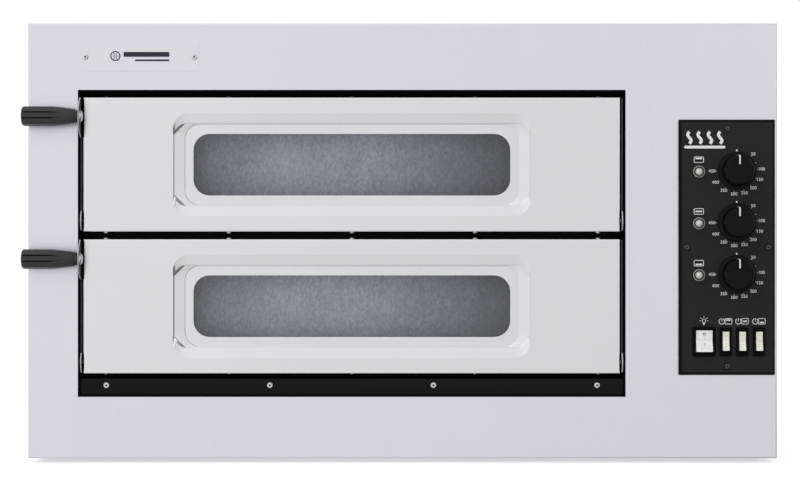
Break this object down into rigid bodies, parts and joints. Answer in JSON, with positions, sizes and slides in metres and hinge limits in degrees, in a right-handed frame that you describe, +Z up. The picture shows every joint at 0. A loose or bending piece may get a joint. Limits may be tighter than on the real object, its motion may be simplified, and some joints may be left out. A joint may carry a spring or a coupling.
{
  "type": "countertop pizza oven",
  "caption": "Two-deck electric countertop pizza oven with drop-down glazed doors, side-mounted grips and a black control panel.",
  "frame": {"origin": "mid-width of the casing and mid-depth of the whole oven, on the surface that the rubber feet stand on", "axes": "+Z up; the doors and controls face -Y; +X is to the right when facing the front"},
  "size_m": [0.9193, 0.6898, 0.5379],
  "materials": {
    "stainless": "brushed satin",
    "door_steel": "polished satin",
    "zinc_sheet": "galvanised sheet",
    "black_enamel": "satin black stove enamel",
    "panel_black": "matt black powder coat",
    "fastener_steel": "bright zinc",
    "black_fastener": "black oxide",
    "chamber_steel": "aluminised, heat tinted",
    "refractory": "rough fired clay",
    "element_sheath": "oxidised sheath",
    "ceramic_fibre": "soft felt",
    "lamp_ceramic": "glazed porcelain",
    "lamp_glass": "moulded glass",
    "oven_glass": "toughened, clear",
    "gasket": "high-temperature silicone",
    "grip_plastic": "satin phenolic",
    "knob_plastic": "satin",
    "thermostat_body": "moulded",
    "copper_tube": "drawn copper",
    "pilot_rim": "smoked grey",
    "pilot_lens": "translucent",
    "switch_black": "satin",
    "rocker_white": "translucent",
    "rocker_cream": "translucent",
    "plate_steel": "fine brushed",
    "terminal_plastic": "moulded",
    "gland_plastic": "moulded nylon",
    "foot_rubber": "matt"
  },
  "bodies": {
    "casing": {"fascia": "stainless", "left_side_panel": "stainless", "right_side_panel": "stainless", "top_cover": "stainless", "rear_cover": "zinc_sheet", "base_plate": "zinc_sheet", "rubber_feet": "foot_rubber", "foot_screws": "fastener_steel", "casing_screws": "fastener_steel", "door_surround": "black_enamel", "door_divider": "black_enamel", "sill_plate": "black_enamel", "sill_screws": "fastener_steel", "hinge_pins": "fastener_steel", "upper_chamber": "chamber_steel", "lower_chamber": "chamber_steel", "upper_stone": "refractory", "lower_stone": "refractory", "top_element": "element_sheath", "middle_element": "element_sheath", "bottom_element": "element_sheath", "lamp_lenses": "lamp_glass", "lamp_holders": "lamp_ceramic", "insulation": "ceramic_fibre", "heat_shield": "zinc_sheet", "control_panel": "panel_black", "panel_screws": "black_fastener", "thermostats": "thermostat_body", "thermostat_sensors": "copper_tube", "pilot_bezels": "pilot_rim", "pilot_lenses": "pilot_lens", "switch_housings": "switch_black", "nameplate": "plate_steel", "nameplate_screws": "fastener_steel", "cable_gland": "gland_plastic", "terminal_block": "terminal_plastic"},
    "upper_door": {"upper_door_skin": "door_steel", "upper_door_inner_pan": "black_enamel", "upper_door_glass": "oven_glass", "upper_door_glass_spacer": "gasket", "upper_door_side_brackets": "black_enamel", "upper_door_handle_grip": "grip_plastic", "upper_door_handle_bolt": "fastener_steel", "upper_door_edge_screws": "fastener_steel"},
    "lower_door": {"lower_door_skin": "door_steel", "lower_door_inner_pan": "black_enamel", "lower_door_glass": "oven_glass", "lower_door_glass_spacer": "gasket", "lower_door_side_brackets": "black_enamel", "lower_door_handle_grip": "grip_plastic", "lower_door_handle_bolt": "fastener_steel", "lower_door_edge_screws": "fastener_steel"},
    "top_knob": {"top_knob": "knob_plastic"},
    "middle_knob": {"middle_knob": "knob_plastic"},
    "bottom_knob": {"bottom_knob": "knob_plastic"},
    "light_rocker": {"light_rocker": "rocker_white"},
    "top_rocker": {"top_rocker": "rocker_cream"},
    "middle_rocker": {"middle_rocker": "rocker_cream"},
    "bottom_rocker": {"bottom_rocker": "rocker_cream"}
  },
  "joints": [
    {"name": "upper_door_hinge", "type": "hinge", "parent": "casing", "child": "upper_door", "pos_m": [-0.062, -0.3039, 0.2962], "axis": [1, 0, 0], "range_deg": [0, 90]},
    {"name": "lower_door_hinge", "type": "hinge", "parent": "casing", "child": "lower_door", "pos_m": [-0.062, -0.3039, 0.1229], "axis": [1, 0, 0], "range_deg": [0, 90]},
    {"name": "top_knob_turn", "type": "hinge", "parent": "casing", "child": "top_knob", "pos_m": [0.4072, -0.3225, 0.3571], "axis": [0, 1, 0], "range_deg": [0, 268]},
    {"name": "middle_knob_turn", "type": "hinge", "parent": "casing", "child": "middle_knob", "pos_m": [0.4072, -0.3225, 0.2941], "axis": [0, 1, 0], "range_deg": [0, 268]},
    {"name": "bottom_knob_turn", "type": "hinge", "parent": "casing", "child": "bottom_knob", "pos_m": [0.4072, -0.3225, 0.2311], "axis": [0, 1, 0], "range_deg": [0, 268]},
    {"name": "light_rocker_tilt", "type": "hinge", "parent": "casing", "child": "light_rocker", "pos_m": [0.3672, -0.3205, 0.1488], "axis": [1, 0, 0], "range_deg": [0, 16]},
    {"name": "top_rocker_tilt", "type": "hinge", "parent": "casing", "child": "top_rocker", "pos_m": [0.3935, -0.3205, 0.1488], "axis": [1, 0, 0], "range_deg": [0, 16]},
    {"name": "middle_rocker_tilt", "type": "hinge", "parent": "casing", "child": "middle_rocker", "pos_m": [0.4137, -0.3205, 0.1488], "axis": [1, 0, 0], "range_deg": [0, 16]},
    {"name": "bottom_rocker_tilt", "type": "hinge", "parent": "casing", "child": "bottom_rocker", "pos_m": [0.4342, -0.3205, 0.1488], "axis": [1, 0, 0], "range_deg": [0, 16]}
  ]
}
